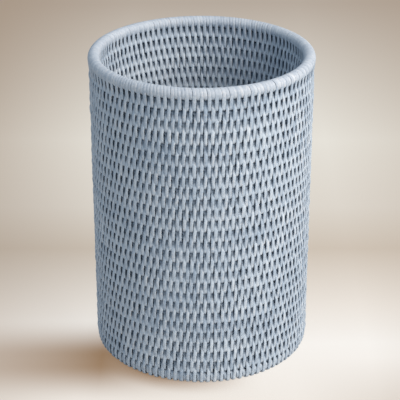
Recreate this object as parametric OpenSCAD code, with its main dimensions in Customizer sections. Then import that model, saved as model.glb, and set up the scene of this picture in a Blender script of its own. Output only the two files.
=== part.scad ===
// Round rattan wastebasket: level cane hoops lashed together course by course,
// with a close-wrapped rim and a base of concentric hoops lashed in the same way.
// Millimetres, +Z up, origin at the middle of the underside.

/* [Wall] */
// Diameter of the wall, measured between the middles of the canes
wall_d = 205; // [185:0.5:320]
// Number of cane hoops stacked in the wall
courses = 27; // [4:1:27]
// Diameter of the wall and base canes
cane_d = 5.2; // [4.4:0.1:6]

/* [Lashing] */
// Number of stitches round each course, halved towards the middle of the base
stitches = 88; // [64:8:88]
// Width of the lashing strand along the wall
strand_w = 3; // [1.6:0.05:3.1]
// Thickness of the lashing strand
strand_t = 1.2; // [0.9:0.05:1.5]
// Radius to which a strand bows as it passes over two canes
bow_r = 11.8; // [11:0.1:14]
// Clearance between a strand and the cane that it goes round
lay_gap = 0.15; // [0.05:0.05:0.3]
// Clearance between two strands that share one gap
nest_gap = 0.15; // [0.05:0.05:0.5]

/* [Rim] */
// Diameter of the rim cane
rim_cane_d = 8.6; // [7:0.1:10]
// How far the middle of the rim cane lies outside the middle of the wall
rim_out = 0.2; // [0:0.1:2.5]
// Thickness of the strand that is wound round the rim cane
wrap_t = 1.6; // [1.2:0.05:2]

/* [Base] */
// Wanted distance between the hoops of the base, which are spread evenly
base_spacing = 10.9; // [10:0.1:12]
// Diameter of the ring that forms the edge of the disc in the middle of the base
heart_d = 30; // [28:0.5:40]
// How far the base lies above the lowest wall hoop, so that the edge carries the basket
base_rise = 1; // [0.6:0.1:2]
// Depth of the flats pressed on the strands that meet the floor
floor_flat = 0.5; // [0.3:0.05:0.7]

/* [Hidden] */
$fn = 72;

wall_r = wall_d / 2;
// Inside radius of a stitch round a wall cane, and round the rim cane
cane_seat = cane_d / 2 + lay_gap;
rim_seat = rim_cane_d / 2 + lay_gap;

// A stitch is two bowed legs whose arcs touch both canes and cross in the gaps.
// Height of one course, at which the points of two stitches just share a gap
pitch = let(q = cane_seat + strand_t, s = bow_r - cane_seat)
    (nest_gap + sqrt(nest_gap * nest_gap / 4 + 3 * q * q + 6 * q * s)) / 1.5;
// How far a stitch reaches beyond its seat into the gap between canes that are one step apart
function reach_of(step) = (step - nest_gap) / 2 - cane_seat;
reach = reach_of(pitch);
// Distance from the middle of an arc to the middle of a cane that it touches
function arm(span, seat, tip) =
    (pow(span / 2 + seat + tip, 2) - pow(seat + strand_t, 2) - span * span / 4)
    / (2 * (seat + strand_t));
// Distance from the middle of an arc to the middle line of the stitch
function offset_of(span, seat, tip) = sqrt(pow(arm(span, seat, tip), 2) - span * span / 4);

// The base is tied to the lowest wall hoop one pitch in from it, and a little higher
first_step = sqrt(pitch * pitch - base_rise * base_rise);
edge_tilt = asin(base_rise / pitch);
first_z = arm(pitch, cane_seat, reach) + cane_seat + strand_t
    - offset_of(pitch, cane_seat, reach) * cos(edge_tilt) - base_rise / 2 - floor_flat;
base_z = first_z + base_rise;
last_z = first_z + (courses - 1) * pitch;

// The rim cane sits on the last course with the strands of both between them
rim_r = wall_r + rim_out;
rim_tube = rim_seat + wrap_t;
rim_rise = (pitch - nest_gap) / 2 + rim_tube + nest_gap;
rim_z = last_z + rim_rise;
rim_lean = atan2(rim_out, rim_rise);
// The rim stitch has the rim's seat at both ends, so it takes up the smaller cane's slack
rim_slack = rim_seat - cane_seat;
rim_span = sqrt(rim_rise * rim_rise + rim_out * rim_out) - rim_slack;

function two(i) = i < 10 ? str("0", i) : str(i);
hoop_names = [for (i = [1:courses]) str("wall_hoop_", two(i))];
lashing_names = [for (i = [1:courses - 1]) str("wall_lashing_", two(i))];

function hoop_z(i) = first_z + (i - 1) * pitch;
// The base hoops fill the space between the wall and the disc in the middle, evenly
heart_r = heart_d / 2;
base_space = wall_r - first_step - heart_r;
base_rings = round(base_space / base_spacing);
base_step = base_space / base_rings;
base_reach = reach_of(base_step);
function ring_r(k) = k == 0 ? wall_r : wall_r - first_step - (k - 1) * base_step;
// Stitches thin out towards the middle of the base, by halves
function base_count(k) = k == 0 ? stitches / 2 : k < base_rings ? stitches / 4 : stitches / 8;
// Each row sits between the stitches of the row outside it
function base_turn(k) = k == 0 ? 0 : base_turn(k - 1) + 180 / base_count(k - 1);

// A bent cane hoop
module hoop(r, d, z) {
    translate([0, 0, z]) rotate_extrude() translate([r, 0]) circle(d = d);
}

// Space between two equal arcs that bow away from each other
module bow(r, off) {
    intersection() {
        translate([-off, 0]) circle(r = r);
        translate([off, 0]) circle(r = r);
    }
}

// Outline of a stitch round two canes of one seat, with its length along Y
module stitch_outline(span, seat, tip) {
    inner = arm(span, seat, tip) + seat;
    difference() {
        bow(inner + strand_t, offset_of(span, seat, tip));
        bow(inner, offset_of(span, seat, tip));
    }
}

// What of a flat outline lies above the floor, as seen from the height z
module above_floor(z) {
    intersection() {
        children();
        translate([-2 * pitch, -z]) square([4 * pitch, z + 4 * pitch]);
    }
}

// Gives an outline the width of the strand and stands it in the XZ plane
module strand() {
    rotate([90, 0, 0]) linear_extrude(strand_w, center = true) children();
}

module around(count, turn) {
    for (j = [0:count - 1]) rotate(turn + j * 360 / count) children();
}

module wall_hoop(i) {
    color("#9db0bf") hoop(wall_r, cane_d, hoop_z(i));
}

// The row that ties course i to course i + 1, half a stitch on from the row below
module wall_lashing(i) {
    mid = hoop_z(i) + pitch / 2;
    color("#b9c8d4")
        around(stitches, (i % 2) * 180 / stitches)
            translate([wall_r, 0, mid])
                strand() above_floor(mid) stitch_outline(pitch, cane_seat, reach);
}

module rim_hoop() {
    color("#9db0bf") hoop(rim_r, rim_cane_d, rim_z);
}

// Ties the rim cane to the last course, and lies as low on the rim as its wrapping
module rim_lashing() {
    color("#c3d0da")
        around(stitches, (courses % 2) * 180 / stitches)
            translate([wall_r, 0, last_z])
                rotate([0, rim_lean, 0])
                    translate([0, 0, rim_slack + rim_span / 2])
                        strand() intersection() {
                            stitch_outline(rim_span, rim_seat, reach);
                            union() {
                                translate([0, rim_span / 2]) circle(r = rim_tube);
                                translate([-2 * pitch, -4 * pitch])
                                    square([4 * pitch, 4 * pitch + rim_span / 2]);
                            }
                        }
}

// Turns round the rim cane alone, one between each two rim stitches
module rim_wrap() {
    color("#c3d0da")
        around(stitches, ((courses + 1) % 2) * 180 / stitches)
            translate([rim_r, 0, rim_z])
                strand() difference() {
                    circle(r = rim_tube);
                    circle(r = rim_seat);
                }
}

module base_hoops() {
    color("#9db0bf") for (k = [1:base_rings]) hoop(ring_r(k), cane_d, base_z);
}

// Disc that starts the base, slotted for the innermost stitches
module base_heart() {
    slot_end = cane_seat + base_reach + lay_gap;
    color("#9db0bf")
        translate([0, 0, base_z])
            difference() {
                rotate_extrude() {
                    translate([heart_r, 0]) circle(d = cane_d);
                    translate([0, -cane_d / 2]) square([heart_r, cane_d]);
                }
                around(base_count(base_rings), base_turn(base_rings))
                    translate([heart_r - slot_end, -strand_w / 2 - lay_gap, -cane_d])
                        cube([slot_end - cane_d / 2, strand_w + 2 * lay_gap, 2 * cane_d]);
            }
}

// Ties the lowest wall hoop to the first base hoop
module base_lashing_outer() {
    mid = first_z + base_rise / 2;
    color("#b9c8d4")
        around(base_count(0), base_turn(0))
            translate([wall_r - first_step / 2, 0, mid])
                strand() above_floor(mid)
                    rotate(90 - edge_tilt) stitch_outline(pitch, cane_seat, reach);
}

// Row k ties base hoop k to base hoop k + 1, counted in from the wall
module base_lashing_inner() {
    color("#b9c8d4")
        for (k = [1:base_rings])
            around(base_count(k), base_turn(k))
                translate([ring_r(k) - base_step / 2, 0, base_z])
                    strand() rotate(90) stitch_outline(base_step, cane_seat, base_reach);
}

for (i = [1:courses]) {
    wall_hoop(i);
}
for (i = [1:courses - 1]) {
    wall_lashing(i);
}
rim_hoop();
rim_lashing();
rim_wrap();
base_hoops();
base_heart();
base_lashing_outer();
base_lashing_inner();
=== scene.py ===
import math

import bpy
import numpy as np
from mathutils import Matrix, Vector


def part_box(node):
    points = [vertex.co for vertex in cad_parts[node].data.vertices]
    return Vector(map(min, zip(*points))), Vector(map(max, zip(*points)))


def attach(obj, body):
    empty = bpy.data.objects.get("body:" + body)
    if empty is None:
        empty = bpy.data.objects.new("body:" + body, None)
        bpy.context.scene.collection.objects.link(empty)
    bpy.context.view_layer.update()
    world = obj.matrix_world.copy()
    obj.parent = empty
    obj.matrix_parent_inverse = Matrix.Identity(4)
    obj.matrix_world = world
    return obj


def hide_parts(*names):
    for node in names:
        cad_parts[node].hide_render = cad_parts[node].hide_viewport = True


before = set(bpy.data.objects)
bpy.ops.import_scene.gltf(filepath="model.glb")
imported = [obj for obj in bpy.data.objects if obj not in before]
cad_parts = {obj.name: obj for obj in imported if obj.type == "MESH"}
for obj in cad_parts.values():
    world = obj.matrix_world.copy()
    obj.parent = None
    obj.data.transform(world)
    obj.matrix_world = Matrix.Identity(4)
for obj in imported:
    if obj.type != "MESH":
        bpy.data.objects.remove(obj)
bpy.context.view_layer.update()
scene = bpy.context.scene
scene.view_settings.view_transform = "Standard"

# Sizes are in metres.
COURSES = 27
STITCHES = 102
STRAND_THICK = 0.0015
STRAND_WIDE = 0.0031
STRAND_CLEAR = 0.0001
RIM_THICK = 0.0013
RIM_WIDE = 0.0033
BASE_WIDE = 0.0035
# Radius at which the strands have these widths, and the most that one is widened to fill its place
WIDTH_R = 0.105
MOST_ROOM = 1.06
# Share of its width that a strand has on the canes, and in the holes between them
GIRTH_SHARES = (1.06, 1.0)
# How far a strand bows out where it crosses the gap between two canes
BOW_OUT = 0.0008
BOW_IN = 0.0009
# How far the lower end of a strand rides over the strands of the course below
LIFT_OUT = 0.0005
LIFT_IN = 0.0007
# Sideways lean of a strand from its lower to its upper end
LEAN_OUT = 0.0008
LEAN_IN = -0.0005
# How far a strand sways to each side where it crosses the gap between two canes
SWAY_OUT = 0.0001
SWAY_IN = 0.0001
# Height of the blunt lower end and of the sloping upper end of a strand, past the middle of its cane
LOW_TIP = 0.0033
HIGH_TIP = 0.0052
# How far the lower end of a strand sags where it passes between the canes, and how narrow the sag is
SAG = 0.0009
SAG_NARROW = 1.4
# How much thicker a strand bunches up where it passes between the canes, and the share of that by which
# it widens
BUNCH = 1.6
BUNCH_WIDE = 0.4

# Seeded spread from stitch to stitch: place as a share of the step, lean, width as a share,
# height of the lower end, bow, and roll in radians
PLACE_SPREAD = 0.035
LEAN_SPREAD = 0.00045
WIDTH_SPREAD = 0.06
DROP_SPREAD = 0.00022
BOW_SPREAD = 0.00018
ROLL_SPREAD = 0.05
MEAN_ROLL = math.radians(3)
# How far the stitches of a wall row wander slowly along it, as a share of the step
WANDER = 0.03
# Spread of tone from stitch to stitch, in slow waves along a row, and from row to row
TONE_SPREAD = 0.35
TONE_WAVE = 0.3
TONE_ROW = 0.2


# Camera

camera = bpy.data.objects.new("camera", bpy.data.cameras.new("camera"))
scene.collection.objects.link(camera)
camera.data.sensor_width = 36.0
camera.data.lens = 125.5
camera.data.clip_start = 0.05
camera.data.clip_end = 60.0
camera.location = (-0.0016, -1.2575, 0.7448)
camera.rotation_euler = (math.radians(64.56), 0.0, 0.0)
scene.camera = camera


# Shader maths

class Value:
    """A shader socket that can be used in ordinary sums."""

    def __init__(self, finish, socket):
        self.finish = finish
        self.socket = socket

    def sum(self, operation, *parts):
        return self.finish.node("ShaderNodeMath", {"operation": operation}, dict(enumerate(parts)))

    def __add__(self, other):
        return self.sum("ADD", self, other)

    __radd__ = __add__

    def __sub__(self, other):
        return self.sum("SUBTRACT", self, other)

    def __rsub__(self, other):
        return self.sum("SUBTRACT", other, self)

    def __mul__(self, other):
        return self.sum("MULTIPLY", self, other)

    def __pow__(self, other):
        return self.sum("POWER", self, other)


class Finish:
    """A material and the nodes that make it."""

    def __init__(self, name):
        self.material = bpy.data.materials.new(name)
        self.material.use_nodes = True
        self.tree = self.material.node_tree
        self.tree.nodes.clear()

    def node(self, kind, settings, values, output=0):
        """A new node with its settings and inputs, as the value of one of its outputs."""
        made = self.tree.nodes.new(kind)
        for key, setting in settings.items():
            if key == "stops":
                set_stops(made.color_ramp, setting)
            else:
                setattr(made, key, setting)
        for key, value in values.items():
            if isinstance(value, Value):
                self.tree.links.new(value.socket, made.inputs[key])
            else:
                made.inputs[key].default_value = value
        return Value(self, made.outputs[output]) if made.outputs else made

    def mix(self, share, first, second):
        settings = {"data_type": "RGBA", "blend_type": "MIX"}
        return self.node("ShaderNodeMix", settings, {0: share, 6: first, 7: second}, 2)

    def ramp(self, value, low, high):
        """Value as a share of the way from low to high, kept between 0 and 1."""
        return self.node("ShaderNodeMapRange", {"clamp": True}, {0: value, 1: low, 2: high})

    def soft_ramp(self, value, low, high):
        """As ramp, but easing in and out."""
        settings = {"clamp": True, "interpolation_type": "SMOOTHSTEP"}
        return self.node("ShaderNodeMapRange", settings, {0: value, 1: low, 2: high})

    def noise(self, place, scale, detail, roughness=0.5):
        values = {"Vector": place, "Scale": scale, "Detail": detail, "Roughness": roughness}
        return self.node("ShaderNodeTexNoise", {"noise_dimensions": "3D"}, values)

    def parts(self, vector):
        return [self.node("ShaderNodeSeparateXYZ", {}, {0: vector}, i) for i in range(3)]

    def vector(self, x, y, z):
        return self.node("ShaderNodeCombineXYZ", {}, {0: x, 1: y, 2: z})

    def bump(self, strength, distance, height):
        values = {"Strength": strength, "Distance": distance, "Height": height}
        return self.node("ShaderNodeBump", {}, values)

    def close(self, shader):
        self.node("ShaderNodeOutputMaterial", {}, {"Surface": shader})
        return self.material


def set_stops(ramp, stops):
    while len(ramp.elements) < len(stops):
        ramp.elements.new(0.5)
    for element, (place, colour) in zip(ramp.elements, stops):
        element.position = place
        element.color = colour


def paint(red, green, blue):
    """A screen colour of 0 to 255 as the linear colour that shaders take."""
    def linear(level):
        share = level / 255
        return share / 12.92 if share <= 0.04045 else ((share + 0.055) / 1.055) ** 2.4
    return (linear(red), linear(green), linear(blue), 1.0)


PALE_PAINT = paint(200, 211, 223)
DEEP_PAINT = paint(150, 168, 188)
# Dark paint for the painted shade in the gaps between the canes
GAP_SHADE_PAINT = paint(91, 108, 127)
# Chalky paint, also used for the painted highlight on the top of the rim
CHALK_HIGHLIGHT_PAINT = paint(211, 208, 210)
# The canes are painted darker than the strands, as painted shade behind them
SHADED_CANE_DARK = paint(100, 117, 134)
SHADED_CANE_PALE = paint(144, 161, 178)
PAINT_GLOSS = 0.35
# Depth of the fibres in the strands and of the grain in the canes
FIBRE_DEPTH = 0.0004
GRAIN_DEPTH = 0.0002


def painted_strand():
    """Matt paint over flat rattan strand, with its fibres showing through.

    The depth value is 1 in the gaps between the canes, where shade is painted in, and goes under 0 where a
    highlight is painted on.
    """
    finish = Finish("painted_strand")
    lie = finish.node("ShaderNodeAttribute", {"attribute_name": "lie"}, {}, 1)
    tone = finish.node("ShaderNodeAttribute", {"attribute_name": "tone"}, {}, 2)
    depth = finish.node("ShaderNodeAttribute", {"attribute_name": "depth"}, {}, 2)
    along, across, row = finish.parts(lie)

    def grain(per_length, per_width, offset, detail, roughness=0.5):
        """Noise with so many marks to the metre along the strand and across it."""
        place = finish.vector(along * per_length, across * per_width, row + offset)
        return finish.noise(place, 1.0, detail, roughness)

    fibres = grain(90, 3200, 0.0, 3.0, 0.6)
    streaks = grain(40, 900, 7.3, 2.0)
    patches = grain(55, 90, 3.1, 3.0)
    mottle = grain(520, 640, 5.7, 2.0)
    shade = 0.5 + (fibres - 0.5) * 0.8 + (streaks - 0.5) * 0.7 + (patches - 0.5) * 0.7
    shade = shade + (mottle - 0.5) * 0.9 + tone * 0.26
    body = finish.mix(finish.ramp(shade, 0.05, 0.95), DEEP_PAINT, PALE_PAINT)
    chalk = finish.ramp(streaks + mottle, 1.05, 1.3) * 0.4
    # Painted highlight where the depth value goes under 0, on the top of the rim, mixed with the paint's
    # own chalky streaks
    painted_highlight = finish.ramp(depth, 0.0, -1.0)
    chalk_and_highlight = finish.mix(finish.ramp(chalk + painted_highlight * 0.5, 0.0, 1.0), body, CHALK_HIGHLIGHT_PAINT)
    # Painted shade: the gaps between the canes are darkened towards a dark paint
    colour = finish.mix(finish.ramp(depth, 0.15, 1.0) * 0.65, chalk_and_highlight, GAP_SHADE_PAINT)
    return finish.close(finish.node("ShaderNodeBsdfPrincipled", {}, {
        "Base Color": colour, "Roughness": 0.5 + fibres * 0.14 + patches * 0.1,
        "Normal": finish.bump(0.5, FIBRE_DEPTH, fibres * 0.7 + streaks * 0.3),
        "Specular IOR Level": PAINT_GLOSS}))


def painted_cane():
    """Matt paint over round cane, which lies behind the strands and is painted darker than they are, as
    painted shade.
    """
    finish = Finish("painted_cane")
    place = finish.node("ShaderNodeTexCoord", {}, {}, 3)
    x, y, z = finish.parts(place)
    turn = finish.node("ShaderNodeMath", {"operation": "ARCTAN2"}, {0: y, 1: x})
    # The grain follows the hoops round
    grain_place = finish.vector(turn * 6, (x * x + y * y) ** 0.5 * 1800, z * 1800)
    grain = finish.noise(grain_place, 1.0, 3.0, 0.6)
    patches = finish.noise(place, 60.0, 3.0)
    share = finish.ramp(grain * 0.5 + patches * 0.5, 0.25, 0.75)
    return finish.close(finish.node("ShaderNodeBsdfPrincipled", {}, {
        "Base Color": finish.mix(share, SHADED_CANE_DARK, SHADED_CANE_PALE), "Roughness": 0.55 + grain * 0.15,
        "Normal": finish.bump(0.4, GRAIN_DEPTH, grain), "Specular IOR Level": PAINT_GLOSS}))


STRAND_FINISH = painted_strand()
CANE_FINISH = painted_cane()


# Strands

# Cross-section of a strand, as shares of its width and thickness: flat, with rounded edges
SECTION = np.array([
    (-0.50, -0.10), (-0.494, 0.29), (-0.42, 0.44), (0.0, 0.50), (0.42, 0.44),
    (0.494, 0.29), (0.50, -0.10), (0.40, -0.42), (0.0, -0.46), (-0.40, -0.42)])
# The rim's strands are flatter and lie edge to edge
RIM_SECTION = np.array([
    (-0.50, 0.0), (-0.495, 0.37), (-0.42, 0.46), (0.0, 0.50), (0.42, 0.46),
    (0.495, 0.37), (0.50, 0.0), (0.40, -0.42), (0.0, -0.46), (-0.40, -0.42)])
# Points of a section under this share of the thickness are on the side that lies on the cane
UNDERSIDE = -0.3

# How blunt a stitch turns under its first cane, and outside and inside over its second one: 2 is round
ENDS = (4.5, 1.35, 1.15)
# Points up the outside of a stitch, in each quarter turn above, down the inside, and in each quarter
# turn below
POINTS = (8, 5, 6, 5)
# Where in the turn above a strand begins and ends its way across, as shares of that turn
CROSSING = (0.25, 0.75)
# Values of a stitch's side at the end of the turn above, and at the start of the turn below
TURNED = 0.3
RETURNED = 0.7
# Value of side from which a strand goes across to the next stitch, and how much of side that takes
GO_ON = 0.8
GO_ON_LENGTH = 0.2

# Painted light that makes the strands paler inside the basket, and how much less the painted shade darkens
# the gaps there
INNER_LIGHT = 1.1
INNER_EASE = 0.5
# Painted shade on the underside of a strand, and how far its fibres are set off there
UNDER_SHADE = 0.2
UNDER_SHIFT = 0.006
# Painted shade that darkens the upper ends of the wall strands, and painted highlight that makes the top
# of the rim paler
TOP_SHADE = 0.42
RIM_HIGHLIGHT = 0.65
# Height in a stitch where that begins, and over how much height it comes in full
TOP_START = 0.65
TOP_LENGTH = 0.75
# A strand is between the canes out to this many half depths of the row, and this soon past its cane
SUNK_REACH = 1.3
SUNK_PACE = 1.1

WALL_SEED = 100
BINDING_SEED = 301
WINDING_SEED = 302
BASE_SEED = 400
# Steps from strand to strand through the noise of the finish, and the place of the rim's winding in it
GRAIN_STEP = 1.7
WINDING_GRAIN = 511.0
# Stitches side by side on the flat sheet of a strand, and the margins of a stitch's patch there
SHEET_COLUMNS = 10
SIDE_MARGIN = 0.05
END_MARGIN = 0.04


def smooth(share):
    share = np.clip(share, 0.0, 1.0)
    return share * share * (3 - 2 * share)


def row_phase(row):
    """Each row of stitches is set half a stitch on from the row under it."""
    return (row % 2) / 2


def hoop_line(node):
    """(radius, height, cane radius) of a hoop, from the box of its CAD node."""
    low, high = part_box(node)
    cane = (high.z - low.z) / 2
    return high.x - cane, (high.z + low.z) / 2, cane


def blunt(angle, power):
    """How much further out than a round end a blunt one lies, at an angle from the leg."""
    return (abs(math.cos(angle)) ** power + abs(math.sin(angle)) ** power) ** (-1 / power)


class Path:
    """A stitch seen in section: points round two canes, from under the first one and up the outside.

    seats are how far the strand lies from the middle of the first cane, outside and inside, and from
    that of the second one. tips are how far it goes past those middles at its ends.
    side is 0 on the way up the outside, and goes from 0 to 1 on the way back to the next stitch.
    """

    def __init__(self, first, second, seats, bows, tips, ends=ENDS, sag=0.0, points=POINTS,
                 crossing=CROSSING):
        first = np.array(first)
        second = np.array(second)
        self.span = np.linalg.norm(second - first)
        up = (second - first) / self.span
        out = np.array((up[1], -up[0]))
        low_out, low_in, high = seats
        leg_steps, top_steps, inner_steps, low_steps = points
        place = []
        side = []

        def arc(centre, seats, tip, start, end, steps, power, sides, sag=0.0):
            for k in range(steps):
                share = k / steps
                turn = start + (end - start) * share
                seat_here = seats[0] + (seats[1] - seats[0]) * share
                across = seat_here * math.cos(turn) * out
                drop = sag * max(0.0, 1 - SAG_NARROW * abs(math.cos(turn)))
                round_end = across + tip * math.sin(turn) * up
                place.append(centre + blunt(turn, power) * round_end - drop * up)
                side.append(sides[0] + (sides[1] - sides[0]) * share)

        def leg(start, end, bow, steps, sides):
            for k in range(steps):
                share = k / steps
                place.append(start + (end - start) * share + bow * math.sin(math.pi * share))
                side.append(sides[0] + (sides[1] - sides[0]) * share)

        quarter = math.pi / 2
        low_mid = (low_out + low_in) / 2
        arc(first, (low_mid, low_out), tips[0], -quarter, 0.0, low_steps, ends[0], (0.0, 0.0), sag)
        leg(first + low_out * out, second + high * out, bows[0] * out, leg_steps, (0.0, 0.0))
        arc(second, (high, high), tips[1], 0.0, quarter, top_steps, ends[1], (0.0, TURNED / 2))
        arc(second, (high, high), tips[1], quarter, 2 * quarter, top_steps, ends[2], (TURNED / 2, TURNED))
        leg(second - high * out, first - low_in * out, -bows[1] * out, inner_steps, (TURNED, RETURNED))
        arc(first, (low_in, low_mid), tips[0], 2 * quarter, 3 * quarter, low_steps, ends[0],
            (RETURNED, 1.0), sag)
        self.place = np.array(place)
        self.side = np.array(side)
        ahead = np.roll(self.place, -1, axis=0) - np.roll(self.place, 1, axis=0)
        normal = np.stack([ahead[:, 1], -ahead[:, 0]], axis=1)
        self.normal = normal / np.linalg.norm(normal, axis=1)[:, None]
        self.height = (self.place - first) @ up / self.span
        self.outward = (self.place - first) @ out
        self.reach = high / self.span
        self.up_share = (self.height + self.reach) / (1 + 2 * self.reach)
        self.inner_start = low_steps + leg_steps + 2 * top_steps
        self.inner_end = self.inner_start + inner_steps
        self.crossing = crossing


def tube_mesh(name, rings, lie, tone, depth, per_stitch):
    """A closed running strand from its rings of points, with the values that its finish reads."""
    ring_count, points = rings.shape[:2]
    index = np.arange(ring_count * points).reshape(ring_count, points)
    ahead = np.roll(index, -1, axis=0)
    faces = np.stack([index, np.roll(index, -1, axis=1), np.roll(ahead, -1, axis=1), ahead], axis=-1)
    mesh = bpy.data.meshes.new(name)
    mesh.from_pydata(rings.reshape(-1, 3).tolist(), [], faces.reshape(-1, 4).tolist())
    mesh.polygons.foreach_set("use_smooth", np.ones(len(mesh.polygons), dtype=bool))
    mesh.attributes.new("lie", "FLOAT_VECTOR", "POINT").data.foreach_set(
        "vector", lie.reshape(-1).astype(np.float32))
    mesh.attributes.new("tone", "FLOAT", "POINT").data.foreach_set(
        "value", np.repeat(tone, points).astype(np.float32))
    mesh.attributes.new("depth", "FLOAT", "POINT").data.foreach_set(
        "value", depth.reshape(-1).astype(np.float32))
    lay_flat(mesh, ring_count, points, per_stitch)
    mesh.materials.append(STRAND_FINISH)
    piece = bpy.data.objects.new(name, mesh)
    scene.collection.objects.link(piece)
    return piece


def lay_flat(mesh, ring_count, points, per_stitch):
    """One upright patch of the sheet for each stitch."""
    stitch, step = np.divmod(np.arange(ring_count), per_stitch)
    rows = math.ceil((stitch.max() + 1) / SHEET_COLUMNS)
    column = stitch % SHEET_COLUMNS
    line = stitch // SHEET_COLUMNS
    edge = np.arange(points + 1) / points
    shape = (ring_count, points)

    def sideways(shares):
        place = column[:, None] + SIDE_MARGIN + (1 - 2 * SIDE_MARGIN) * shares[None, :]
        return np.broadcast_to(place / SHEET_COLUMNS, shape)

    def upwards(shares):
        place = line + END_MARGIN + (1 - 2 * END_MARGIN) * shares
        return np.broadcast_to((place / rows)[:, None], shape)

    left = sideways(edge[:-1])
    right = sideways(edge[1:])
    low = upwards(step / per_stitch)
    high = upwards((step + 1) / per_stitch)
    corners = np.stack([
        np.stack([left, low], -1), np.stack([right, low], -1),
        np.stack([right, high], -1), np.stack([left, high], -1)], axis=2)
    mesh.uv_layers.new(name="OFBake").data.foreach_set("uv", corners.reshape(-1).astype(np.float32))


def round_axis(radius, height, angle):
    """Points or directions, given in section, turned by an angle round the basket's axis."""
    height = np.broadcast_to(height, angle.shape)
    return np.stack([radius * np.cos(angle), radius * np.sin(angle), height], axis=-1).reshape(-1, 3)


def sweep(centre, normal, wide, thick, roll, section):
    """Rings of the strand's section along a closed centre line."""
    ahead = np.roll(centre, -1, axis=0) - np.roll(centre, 1, axis=0)
    ahead /= np.linalg.norm(ahead, axis=1)[:, None]
    face = normal - (normal * ahead).sum(1)[:, None] * ahead
    face /= np.linalg.norm(face, axis=1)[:, None]
    over = np.cross(ahead, face)
    cosine = np.cos(roll)[:, None]
    sine = np.sin(roll)[:, None]
    face, over = face * cosine + over * sine, over * cosine - face * sine
    sideways = section[None, :, 0] * wide[:, None]
    outwards = section[None, :, 1] * thick[:, None]
    beside = over[:, None, :] * sideways[..., None]
    above = face[:, None, :] * outwards[..., None]
    return centre[:, None, :] + beside + above


def strand_lie(centre, across, grain):
    """Where each point lies on the strand: how far along, how far across, and the strand's own place."""
    steps = np.linalg.norm(np.diff(centre, axis=0), axis=1)
    lie = np.empty((len(centre), len(across), 3))
    lie[..., 0] = np.concatenate([[0.0], steps]).cumsum()[:, None]
    lie[..., 1] = across
    lie[..., 2] = grain
    return lie


def girth(path, on_cane, in_hole):
    """Share of the full width along a stitch, which is full over the gap between the canes."""
    off_middle = np.abs(path.height - 0.5) / 0.5
    past_cane = np.maximum(off_middle - 1.0, 0.0) / (2 * path.reach)
    return 1.0 - (1.0 - on_cane) * smooth(off_middle) - (on_cane - in_hole) * smooth(past_cane)


def sideways_line(path, lean, sway, pace):
    """How far a stitch lies to the side: up the outside, through, down the inside and on to the next."""
    lean_out, lean_in = lean
    wave = np.sin(2 * np.pi * (np.clip(path.height, 0, 1) - 0.5))
    line = lean_out * (path.up_share - 0.5) + sway[0] * wave
    inner = slice(path.inner_start, path.inner_end)
    line[inner] = -pace / 2 + lean_in * (path.up_share[inner] - 0.5) + sway[1] * wave[inner]
    top = (path.side > 0.0) & (path.side < TURNED)
    start = lean_out * 0.5
    begin, end = path.crossing
    across = smooth((path.side[top] / TURNED - begin) / (end - begin))
    line[top] = start + (line[path.inner_start] - start) * across
    low = slice(path.inner_end, None)
    start = line[path.inner_end - 1]
    going_on = smooth((path.side[low] - GO_ON) / GO_ON_LENGTH)
    line[low] = start + (-pace - lean_out * 0.5 - start) * going_on
    return line


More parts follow.
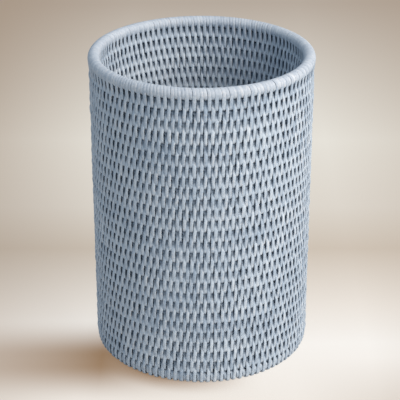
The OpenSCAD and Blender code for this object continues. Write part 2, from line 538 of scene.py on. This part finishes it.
def running_strand(name, path, count, phase, seed, lean, crowd=(STITCHES, STITCHES), thick=STRAND_THICK,
                   wide=STRAND_WIDE, loose=1.0, section=SECTION, shares=GIRTH_SHARES, sway=(0.0, 0.0),
                   open_top=False, top_painted_light=0.0, bunch=0.0, wander=0.0):
    """One strand sewn round two canes, stitch after stitch, until it meets its own start.

    crowd is how many strands go round side by side at the first cane and at the second one.
    loose is a share of the usual spread. open_top is for a row with no other row beyond its second cane.
    """
    draw = np.random.default_rng(seed)
    step = 2 * math.pi / count

    def vary(spread):
        return draw.normal(0.0, spread * loose, count)

    def along_row(values):
        """The values of each stitch, passing into those of the next one along the inside."""
        return values[:, None] * (1 - path.side) + np.roll(values, -1)[:, None] * path.side

    def slow_wave():
        """A value for each stitch that swings slowly along the row, from -1 to 1."""
        waves = draw.integers(2, 6)
        return np.sin(waves * step * np.arange(count) + draw.uniform(0.0, 2 * math.pi))

    shift = along_row(vary(PLACE_SPREAD) + wander * slow_wave())
    tip = along_row(vary(LEAN_SPREAD)) * (path.up_share - 0.5)
    fat = along_row(1.0 + vary(WIDTH_SPREAD))
    drop = along_row(vary(DROP_SPREAD)) * smooth(1 - path.height)
    swell = along_row(vary(BOW_SPREAD)) * np.sin(np.pi * np.clip(path.height, 0, 1))
    roll = along_row(MEAN_ROLL + vary(ROLL_SPREAD))
    own_tone = draw.normal(0.0, TONE_SPREAD, count)
    tone = along_row(own_tone + TONE_WAVE * slow_wave() + draw.normal(0.0, TONE_ROW))

    radius = path.place[:, 0]
    mean_radius = radius.mean()
    line = sideways_line(path, lean, sway, mean_radius * step)
    angle = (phase - np.arange(count)[:, None] - shift) * step + (line + tip) / mean_radius
    place_r = radius + path.normal[:, 0] * swell
    place_z = path.place[:, 1] + path.normal[:, 1] * swell + drop
    centre = round_axis(place_r, place_z, angle)
    normal = round_axis(path.normal[:, 0], path.normal[:, 1], angle)
    crowding = crowd[0] + (crowd[1] - crowd[0]) * np.clip(path.height, 0, 1)
    room = np.minimum(MOST_ROOM, STITCHES / crowding * radius / WIDTH_R)
    width = wide * girth(path, *shares) * room * fat

    half_depth = path.reach * path.span
    past_cane = np.maximum(np.abs(path.height - 0.5) - 0.5, 0.0) / path.reach
    middle = smooth(SUNK_REACH - np.abs(path.outward) / half_depth)
    if open_top:
        middle = np.where(path.height > 0.5, 0.0, middle)
    # 1 where the strand passes between the canes
    sunk = np.tile(smooth(past_cane * SUNK_PACE) * middle, count)
    deep = bunch * sunk ** 3
    wide_here = width.reshape(-1) * (1 + BUNCH_WIDE * deep)
    rings = sweep(centre, normal, wide_here, thick * (1 + deep), roll.reshape(-1), section)
    rings[..., 2] = np.maximum(rings[..., 2], 0.0)

    under = section[:, 1] < UNDERSIDE
    lie = strand_lie(centre, section[:, 0] * wide + np.where(under, UNDER_SHIFT, 0.0), seed * GRAIN_STEP)
    inside = np.tile(smooth(-path.outward / half_depth), count)
    upper_end = np.tile(smooth((path.height - TOP_START) / TOP_LENGTH), count)
    # Painted shade in the gaps between the canes, on the undersides and at the upper ends, and painted
    # highlight on the top of the rim
    depth = np.clip(sunk * (1 - INNER_EASE * inside), 0.0, 1.0)[:, None]
    depth = depth + np.where(under, UNDER_SHADE, 0.0) + top_painted_light * upper_end[:, None]
    # Painted light: the strands are painted paler inside the basket
    tone = tone.reshape(-1) + INNER_LIGHT * inside
    return tube_mesh(name, rings, lie, tone, depth, len(path.place))


def place_on(piece, node):
    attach(piece, "root")
    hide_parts(node)


# Wall

wall_r, first_z, cane_r = hoop_line("wall_hoop_01")
last_z = hoop_line("wall_hoop_27")[1]
pitch = (last_z - first_z) / (COURSES - 1)
seat = cane_r + STRAND_CLEAR + STRAND_THICK / 2
wall_seats = (seat + LIFT_OUT, seat + LIFT_IN, seat)
# The lowest row reaches down to the floor, with a squarer end than the others have
FOOT_TIP = first_z - STRAND_THICK / 2
FOOT_END = 7.0


def wall_row(i):
    low = (wall_r, first_z + (i - 1) * pitch)
    high = (wall_r, first_z + i * pitch)
    tips = (FOOT_TIP if i == 1 else LOW_TIP, HIGH_TIP)
    ends = (FOOT_END if i == 1 else ENDS[0], *ENDS[1:])
    path = Path(low, high, wall_seats, (BOW_OUT, BOW_IN), tips, ends, SAG)
    return running_strand(
        f"strand_row_{i:02d}", path, STITCHES, row_phase(i), WALL_SEED + i, (LEAN_OUT, LEAN_IN),
        sway=(SWAY_OUT, SWAY_IN), top_painted_light=TOP_SHADE, bunch=BUNCH, wander=WANDER)


for row in range(1, COURSES):
    place_on(wall_row(row), f"wall_lashing_{row:02d}")


# Rim

# The rim's strands are drawn tight. RIM_LOOSE is their share of the usual spread.
RIM_BOWS = (0.0001, 0.0001)
RIM_ENDS = (5.0, 2.0, 2.0)
RIM_LEAN = (0.0005, 0.0008)
RIM_LOOSE = 0.5
RIM_SHARES = (1.0, 1.0)
RIM_POINTS = (8, 9, 8, 5)
RIM_CROSSING = (0.0, 1.0)
# The winding of the rim: points in a turn, the spread of its turns, how far it draws in under the cane,
# and the painted shade on its underside
TURN_POINTS = 26
TURN_PLACE_SPREAD = 0.012
TURN_WIDTH_SPREAD = 0.025
TURN_DRAW_IN = 0.0006
TURN_UNDER_SHADE = 0.35

rim_r, rim_z, rim_cane = hoop_line("rim_hoop")
rim_seat = rim_cane + STRAND_CLEAR + RIM_THICK / 2
rim_path = Path((wall_r, last_z), (rim_r, rim_z), (seat + LIFT_OUT, seat + LIFT_IN, rim_seat), RIM_BOWS,
                (LOW_TIP, rim_seat), RIM_ENDS, SAG, RIM_POINTS, RIM_CROSSING)
# The top of the rim gets a painted highlight
rim_piece = running_strand(
    "rim_binding", rim_path, STITCHES, row_phase(COURSES), BINDING_SEED, RIM_LEAN, thick=RIM_THICK,
    wide=RIM_WIDE, loose=RIM_LOOSE, section=RIM_SECTION, shares=RIM_SHARES, open_top=True,
    top_painted_light=-RIM_HIGHLIGHT)
place_on(rim_piece, "rim_lashing")


def rim_turns():
    """The turns that go round the rim cane alone, each passing under to the next."""
    draw = np.random.default_rng(WINDING_SEED)
    step = 2 * math.pi / STITCHES
    share = np.arange(TURN_POINTS) / TURN_POINTS
    round_cane = 2 * math.pi * share
    crossing = 0.5 * smooth(share / 0.5) + 0.5 * smooth((share - 0.5) / 0.5)
    stitch = np.arange(STITCHES)[:, None]
    shift = draw.normal(0.0, TURN_PLACE_SPREAD, STITCHES)[:, None]
    fat = 1.0 + draw.normal(0.0, TURN_WIDTH_SPREAD, STITCHES)[:, None]
    tone = draw.normal(0.0, TONE_SPREAD, STITCHES)
    # 1 on the upper half of the cane, and 0 right under it
    settle = np.clip(1 + np.sin(round_cane), 0, 1) ** 0.5
    angle = (-(stitch + crossing + shift * settle) + row_phase(COURSES + 1)) * step
    reach = rim_seat - TURN_DRAW_IN * (1 - smooth(settle * 2))
    place_r = rim_r + reach * np.cos(round_cane)
    place_z = rim_z + reach * np.sin(round_cane)
    centre = round_axis(place_r, place_z, angle)
    normal = round_axis(np.cos(round_cane), np.sin(round_cane), angle)
    width = RIM_WIDE * place_r / WIDTH_R * (0.55 + 0.45 * settle ** 0.5) * fat
    thick = np.full(len(centre), RIM_THICK)
    rings = sweep(centre, normal, width.reshape(-1), thick, np.zeros(len(centre)), RIM_SECTION)
    lie = strand_lie(centre, RIM_SECTION[:, 0] * RIM_WIDE, WINDING_GRAIN)
    # Painted shade under the rim cane and on the undersides of the turns, and painted highlight on the top
    # of the cane
    below = np.tile(1 - smooth(settle * 1.6), STITCHES)[:, None]
    above = np.tile(smooth((np.sin(round_cane) + 0.7) / 1.5), STITCHES)[:, None]
    under = np.where(RIM_SECTION[:, 1] < UNDERSIDE, TURN_UNDER_SHADE, 0.0)
    depth = np.clip(under + below, 0, 1) - RIM_HIGHLIGHT * above
    return tube_mesh("rim_winding", rings, lie, np.repeat(tone, TURN_POINTS), depth, TURN_POINTS)


place_on(rim_turns(), "rim_wrap")


# Base

RINGS = 7
# Stitches in each row of the base and where they start, from the edge inwards
BASE_COUNTS = (102, 102, 102, 51, 51, 51, 51, 17)
BASE_PHASES = (0.0, 0.5, 0.0, 0.25, 0.75, 0.25, 0.75, 0.0833)
BASE_BOWS = (0.0006, 0.0005)
BASE_LEAN = (0.0007, 0.0011)
BASE_TIP = 0.004
# How much higher the edge strands pass over the lowest wall cane than one drawn tight
EDGE_RISE = 0.0007
EDGE_TIP = seat - 0.0001
EDGE_ENDS = (4.5, 2.4, 3.0)
# The edge strands stay upright where they show between those of the wall
EDGE_CROSSING = (0.7, 1.0)
# Painted shade on the upper ends of the edge strands
EDGE_SHADE = 0.3

ring_r, base_z, ring_cane = hoop_line("base_hoops")
heart_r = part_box("base_heart")[1].x - ring_cane
base_step = (ring_r - heart_r) / RINGS
ring_radii = [wall_r] + [ring_r - k * base_step for k in range(RINGS + 1)]


def base_row(k, name):
    """Row k of the base from the edge inwards. Row 0 ties the base to the lowest wall cane."""
    at_edge = k == 0
    rise = EDGE_RISE if at_edge else 0.0
    inner = (ring_radii[k + 1], base_z)
    outer = (ring_radii[k], (first_z if at_edge else base_z) + rise)
    seats = (seat + LIFT_OUT / 2, seat + LIFT_IN / 2, seat + rise)
    tips = (LOW_TIP, EDGE_TIP if at_edge else BASE_TIP)
    path = Path(inner, outer, seats, BASE_BOWS, tips, EDGE_ENDS if at_edge else ENDS,
                crossing=EDGE_CROSSING if at_edge else CROSSING)
    crowd = (BASE_COUNTS[k], BASE_COUNTS[max(k - 1, 0)])
    return running_strand(
        name, path, BASE_COUNTS[k], BASE_PHASES[k], BASE_SEED + k, BASE_LEAN, crowd, wide=BASE_WIDE,
        open_top=at_edge, top_painted_light=EDGE_SHADE if at_edge else 0.0, bunch=BUNCH)


place_on(base_row(0, "base_edge_strand"), "base_lashing_outer")
for k in range(1, RINGS + 1):
    place_on(base_row(k, f"base_strand_{k}"), "base_lashing_inner")


# Canes

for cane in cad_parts.values():
    if not cane.hide_render:
        cane.data.materials.clear()
        cane.data.materials.append(CANE_FINISH)
        cane.data.polygons.foreach_set("use_smooth", np.ones(len(cane.data.polygons), dtype=bool))


# Floor and light

FLOOR_SIDES = 64
FLOOR_R = 9.0
FLOOR_Z = -0.0002
FLOOR_PAINT = paint(224, 214, 204)
# Colour of the painted shade at both sides of the floor
SIDE_SHADE_FLOOR = paint(164, 143, 122)
# Colour of the painted shadow of the basket
BROWN_SHADE = paint(150, 116, 80)
# Tones of the floor from front to back, at shares of the way between these two places: painted light and
# shade, brightest near the basket and darkest far back, with a darker band between
FLOOR_FRONT = -0.2
FLOOR_BACK = 1.2
FLOOR_TONES = (
    (0.03, paint(242, 236, 229)), (0.12, paint(251, 248, 244)), (0.175, paint(238, 231, 223)),
    (0.27, paint(205, 192, 177)), (0.35, paint(222, 215, 205)), (0.5, paint(234, 230, 221)),
    (0.94, paint(182, 168, 154)))
# Share of the floor's look that is its own tone. The rest takes the light and the basket's shadow.
FLOOR_GLOW = 0.85
# The middle of the painted brown shadow, from front to back
SHADE_Y = -0.065


def floor_finish():
    """A pale warm floor, darkened at both sides by painted shade, with a painted brown shadow left of the
    basket and along its foot.

    Places are in metres from the middle of the basket.
    """
    finish = Finish("pale_floor")
    ramp = finish.ramp
    x, y = finish.parts(finish.node("ShaderNodeTexCoord", {}, {}, 3))[:2]
    ring = (x * x + y * y) ** 0.5
    tone = finish.node("ShaderNodeValToRGB", {"stops": FLOOR_TONES}, {0: ramp(y, FLOOR_FRONT, FLOOR_BACK)})
    # Painted shade that dims the floor towards both sides and the front right corner
    corner_shade = ramp(y, -0.06, -0.15) * ramp(x, 0.09, 0.18)
    side_shade = ramp(x, -0.12, -0.344) * 0.8 + ramp(x, 0.17, 0.36) * 0.5 + corner_shade * 0.3
    side_shaded = finish.mix(side_shade, tone, SIDE_SHADE_FLOOR)
    off = ((y - SHADE_Y) * (y - SHADE_Y)) ** 0.5
    # Painted brown shadow of the basket, left of it
    shade = finish.soft_ramp(off, 0.083, 0.008) * ramp(x, 0.06, -0.1) * ramp(x, -0.36, -0.1)
    # Painted contact shadow along the front of the basket's foot
    edge = finish.soft_ramp(ring, 0.13, 0.1) * ramp(x, 0.045, -0.045) * ramp(y, -0.04, -0.09) * 0.9
    colour = finish.mix(1 - (1 - shade) * (1 - edge), side_shaded, BROWN_SHADE)
    lit = finish.node("ShaderNodeBsdfPrincipled", {}, {
        "Base Color": FLOOR_PAINT, "Roughness": 0.8, "Specular IOR Level": 0.2})
    glow = finish.node("ShaderNodeEmission", {}, {"Color": colour, "Strength": 1.0})
    camera_ray, glossy_ray, clear_ray = (
        finish.node("ShaderNodeLightPath", {}, {}, f"Is {kind} Ray")
        for kind in ("Camera", "Glossy", "Transmission"))
    seen = ramp(camera_ray + glossy_ray + clear_ray, 0.0, 1.0)
    # The floor under the basket has no tone of its own, so none shows through the base
    beyond_basket = ramp(ring, 0.098, 0.104)
    return finish.close(finish.node("ShaderNodeMixShader", {}, {
        0: seen * beyond_basket * FLOOR_GLOW, 1: lit, 2: glow}))


floor_turns = [2 * math.pi * k / FLOOR_SIDES for k in range(FLOOR_SIDES)]
floor_points = [(FLOOR_R * math.cos(turn), FLOOR_R * math.sin(turn), 0.0) for turn in floor_turns]
floor_mesh = bpy.data.meshes.new("floor")
floor_mesh.from_pydata(floor_points, [], [list(range(FLOOR_SIDES))])
floor_mesh.materials.append(floor_finish())
floor = bpy.data.objects.new("floor", floor_mesh)
scene.collection.objects.link(floor)
floor.location.z = FLOOR_Z

key_light = bpy.data.lights.new("key_lamp", "AREA")
key_light.shape = "DISK"
key_light.size = 1.5
key_light.energy = 37.5
key_light.color = (1.0, 0.915, 0.82)
key_lamp = bpy.data.objects.new("key_lamp", key_light)
scene.collection.objects.link(key_lamp)
key_lamp.location = (1.22, -0.82, 1.35)
key_aim = Vector((0.0, 0.0, 0.17)) - key_lamp.location
key_lamp.rotation_euler = key_aim.to_track_quat("-Z", "Y").to_euler()

world = bpy.data.worlds.new("soft_room")
scene.world = world
world.use_nodes = True
background = world.node_tree.nodes["Background"]
background.inputs["Color"].default_value = (0.72, 0.87, 1.0, 1.0)
background.inputs["Strength"].default_value = 0.55
